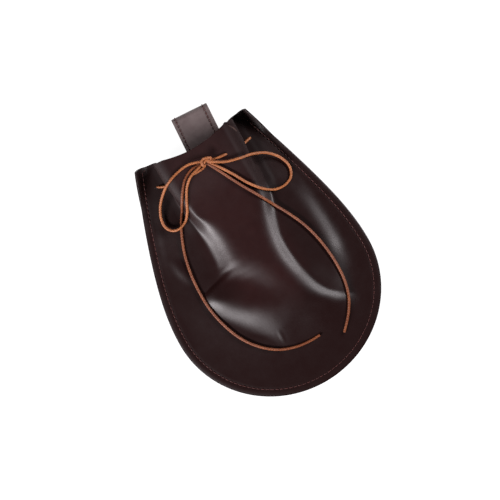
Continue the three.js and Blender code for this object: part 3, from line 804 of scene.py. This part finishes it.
def laid_route(points):
    """A cord's route over the front wall: at rest on the leather, and lifted where the points say."""
    points = np.array(points) * MM
    spanning = points.copy()
    spanning[:, 2] += resting_height(points[:, 0], points[:, 1])
    line = smooth_route(spanning, CORD_STEP)
    lift = smooth_route(points, CORD_STEP)
    lift = np.interp(np.linspace(0, 1, len(line)), np.linspace(0, 1, len(lift)), lift[:, 2])
    rest = resting_height(line[:, 0], line[:, 1])
    held = np.maximum(line[:, 2] - rest, 0) * ease(lift, *HELD_UP)
    height = soften(rest + held, BEND_STEPS)
    line[:, 2] = soften(np.maximum(height, rest), FINISH_STEPS)
    return even_route(line, CORD_STEP)


# The tails are the same cord in darker colours: painted shade.
tail_cord_in_painted_shade = cord_fibre("waxed cord in painted shade", (0.17, 0.043, 0.0145, 1), (0.28, 0.086, 0.03, 1))
STRETCHES = [
    # route, the CAD node that it stands for, what its far end is, and its material
    ("loop_left", "bow_loop_left", "object", cord_material),
    ("loop_right", "bow_loop_right", "object", cord_material),
    ("tail_left", "cord_tail_left", "bare", tail_cord_in_painted_shade),
    ("tail_right", "cord_tail_right", "bare", tail_cord_in_painted_shade),
]
for name, node, far_end, material in STRETCHES:
    line = laid_route(BOW[name])
    stretch = twisted_cord(name, line)
    finish_cord(stretch, material, node)

KNOT_AT = np.array([4, 80.2]) * MM
KNOT_LIFT = 1.6 * MM  # the knot's middle stands this far over a single cord's
knot_height = float(resting_height(KNOT_AT[:1], KNOT_AT[1:])[0]) + KNOT_LIFT
KNOT_STRANDS = [
    # the turn round the left strands that goes on to the right over the others, then what lies under it
    [[-0.6, -1.4, -1.8], [-2.0, -2.9, -0.6], [-2.7, -2.3, 1.4], [-2.9, -0.4, 2.5], [-2.4, 1.5, 2.4],
     [-0.8, 2.5, 2.3], [1.4, 2.4, 2.8], [3.8, 1.6, 2.5], [5.6, 0.6, 1.1], [5.2, -0.4, -0.6]],
    [[-2.2, 1.6, -0.6], [-1.4, -0.6, 1.2], [0.4, 0.4, 2.0], [2.6, 0.4, 1.4], [4.4, -0.6, -0.2]],
]
knot_meshes = []
for strand in KNOT_STRANDS:
    strand_line = smooth_route(np.array(strand) * MM + [*KNOT_AT, knot_height], CORD_STEP)
    knot_meshes.append(twisted_cord("knot", strand_line))
knot = knot_meshes[0]
select_only(*knot_meshes)
bpy.ops.object.join()
finish_cord(knot, cord_material, "bow_knot")

# The seams
# Waxed dark red thread. One row runs round the sides and the bottom through both walls, and turns in
# at each mouth corner. A row runs along each long edge of the belt loop.
THREAD = 0.75 * MM
THREAD_SIDES = 8
STITCH = 2.9 * MM
STITCH_STEPS = 9
STITCH_CROWN = 0.42  # how high its middle lies and how far its ends dip from there, in thread widths
STITCH_DIP = 1.1
STITCH_LEVEL = 3.5  # the higher, the longer its middle stays level
SEAM_PITCH = 3.9 * MM
SEAM_STARTS = 5.5 * MM  # below the corners of the mouth
SEAM_POINTS = {"side": 80, "bottom": 120}
SEAM_TACK = np.array([3.6, 1]) * MM  # how far the row turns in there
STRAP_PITCH = 3.4 * MM
STRAP_ROWS = [-13 * MM, 12.3 * MM]
NEEDLE_REACH = 0.5 * MM  # a stitch lies along the row as it runs this far before and after


def one_stitch():
    """A stitch along X that rises from its two needle holes."""
    t = np.linspace(-1, 1, STITCH_STEPS)
    up = THREAD * (STITCH_CROWN - STITCH_DIP * np.abs(t) ** STITCH_LEVEL)
    line = np.column_stack([t * STITCH / 2, 0 * t, up])
    angles = np.repeat(ring(THREAD_SIDES)[None], STITCH_STEPS, 0)
    return tube_mesh(line, angles, np.full(angles.shape, THREAD / 2))


def sew(name, rows, pitch):
    """A joined mesh of stitches, laid along rows of points with their outward directions."""
    stitch_points, stitch_faces = one_stitch()
    points, faces = [], []
    for line, outward in rows:
        travelled = travel(line)
        places = np.arange(pitch / 2, travelled[-1], pitch)
        spread = np.column_stack([line, outward])
        at = along_line(places, travelled, spread)
        ahead = along_line(places + NEEDLE_REACH, travelled, line)
        behind = along_line(places - NEEDLE_REACH, travelled, line)
        for place, up, along in zip(at[:, :3], at[:, 3:], ahead - behind):
            up = up / np.linalg.norm(up)
            along = along - up * (along @ up)
            along = along / np.linalg.norm(along)
            axes = np.array([along, np.cross(up, along), up])
            faces += [[number + len(points) * len(stitch_points) for number in face] for face in stitch_faces]
            points.append(place + stitch_points @ axes)
    return new_piece(name, np.vstack(points), faces)


def seam_plan():
    """The row of stitches in the plan, from the left corner of the mouth round to the right one."""
    y = np.linspace(y_mouth - SEAM_STARTS, y_widest, SEAM_POINTS["side"])[:-1]
    left = np.column_stack([middle_x(y) - half_width(y) + SEAM_MARGIN, y])
    turn = np.linspace(math.pi, 2 * math.pi, SEAM_POINTS["bottom"])
    share = 1 - SEAM_MARGIN / half_body
    bottom = np.column_stack([half_body * np.cos(turn), BOTTOM_DEPTH * np.sin(turn)]) * share + [0, y_widest]
    right = np.column_stack([middle_x(y) + half_width(y) - SEAM_MARGIN, y])[::-1]
    return np.vstack([left[:1] + SEAM_TACK, left, bottom, right, right[-1:] + SEAM_TACK * [-1, 1]])


def seam_row(surface, outward, sunk):
    """The seam on the outer face of a wall, pressed into it by sunk."""
    middle, upward = upward_normals(surface, *seam_plan().T)
    return middle + outward * upward * (LEATHER / 2 - sunk), outward * upward


SUNK = 0.62 * MM  # stitches that lie on the ground are pressed in by this much
IN_GROOVE = 0.8 * GROOVE_DEPTH  # and those on the front lie this deep in their groove
front_seam = sew("seam_front", [seam_row(front_surface, 1, IN_GROOVE)], SEAM_PITCH)
back_seam = sew("seam_back", [seam_row(back_surface, -1, SUNK)], SEAM_PITCH)


def strap_row(across):
    """A row of stitches along the strap's outer face."""
    line = strap_place(np.full(line_along.shape, across), line_along, line_up)
    along = np.gradient(line, axis=0)
    sideways = strap_place(1.0, 0.0, 0.0) - strap_place(0.0, 0.0, 0.0)
    outward = np.cross(sideways, along)
    outward /= np.linalg.norm(outward, axis=1)[:, None]
    sunk = SUNK * ease(-outward[:, 2:], 0, 0.5)
    return line + outward * (STRAP_THICKNESS / 2 - sunk), outward


strap_seam = sew("seam_strap", [strap_row(across) for across in STRAP_ROWS], STRAP_PITCH)


def thread_fibre(name, dark, light):
    """Waxed thread with a cloudy dye."""
    material, shader, wire = new_material(name)
    place = wire.node("TexCoord", output=3)
    feed(shader, "Base Color", noise(place, 1.5 * MM, 3).between(0.3, 0.7).mix(dark, light))
    shader.inputs["Roughness"].default_value = 0.6
    return material


thread = thread_fibre("red brown thread", (0.042, 0.0085, 0.0075, 1), (0.085, 0.019, 0.0155, 1))
for seam in (front_seam, back_seam, strap_seam):
    seam.data.materials.append(thread)
    smooth(seam)
    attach(seam, "root")

# The floor, the light and the camera
# A plain white floor, a broad low lamp on each side of the pouch, and a camera straight above it
# that is turned so that the pouch leans to the left in the picture.
bpy.ops.object.select_all(action="DESELECT")
FLOOR_GAP = 0.2 * MM  # keeps the floor clear of the leather that lies on it
bpy.ops.mesh.primitive_plane_add(size=6, location=(0, 0, -FLOOR_GAP))
floor = bpy.context.object
floor.name = "floor"
floor_paint, floor_shader, _ = new_material("white floor")
floor_shader.inputs["Base Color"].default_value = (0.25, 0.25, 0.25, 1)
floor_shader.inputs["Roughness"].default_value = 0.9
floor_shader.inputs["Emission Color"].default_value = (1, 1, 1, 1)
floor_shader.inputs["Emission Strength"].default_value = 0.96
floor.data.materials.append(floor_paint)

world = bpy.data.worlds.new("studio")
world.use_nodes = True
backdrop = next(node for node in world.node_tree.nodes if node.type == "BACKGROUND")
backdrop.inputs["Color"].default_value = (1, 1, 1, 1)
backdrop.inputs["Strength"].default_value = 0.02
bpy.context.scene.world = world

LAMP_LIFT = math.radians(32)
LAMP_DISTANCE = 1.2
LAMP_HEIGHT = 0.14


def flat_lamp(name, azimuth, width, power):
    """A long low lamp that looks at the pouch; azimuth is measured from +X towards +Y."""
    turn = math.radians(azimuth)
    away = LAMP_DISTANCE * math.cos(LAMP_LIFT)
    place = (away * math.cos(turn), away * math.sin(turn), LAMP_DISTANCE * math.sin(LAMP_LIFT))
    looks = (math.pi / 2 - LAMP_LIFT, 0, turn + math.pi / 2)
    bpy.ops.object.light_add(type="AREA", location=place, rotation=looks)
    lamp = bpy.context.object
    lamp.name = name
    lamp.data.shape = "RECTANGLE"
    lamp.data.size = width
    lamp.data.size_y = LAMP_HEIGHT
    lamp.data.energy = power
    lamp.data.color = (1, 0.95, 0.975)


flat_lamp("left lamp", azimuth=203, width=0.9, power=19)
flat_lamp("right lamp", azimuth=6, width=1.1, power=13)

SEAM_HEIGHT = 2 * MM
PICTURE_WIDTH = 416.25 * MM  # what the picture spans at the height of the seam
CAMERA_HEIGHT = 1.2
CAMERA_TURN = math.radians(-30)
SENSOR_WIDTH = 36
bpy.ops.object.camera_add(location=(0, 0, CAMERA_HEIGHT), rotation=(0, 0, CAMERA_TURN))
camera = bpy.context.object
camera.data.sensor_width = SENSOR_WIDTH
camera.data.lens = SENSOR_WIDTH * (CAMERA_HEIGHT - SEAM_HEIGHT) / PICTURE_WIDTH
bpy.context.scene.camera = camera
bpy.context.scene.view_settings.view_transform = "Standard"
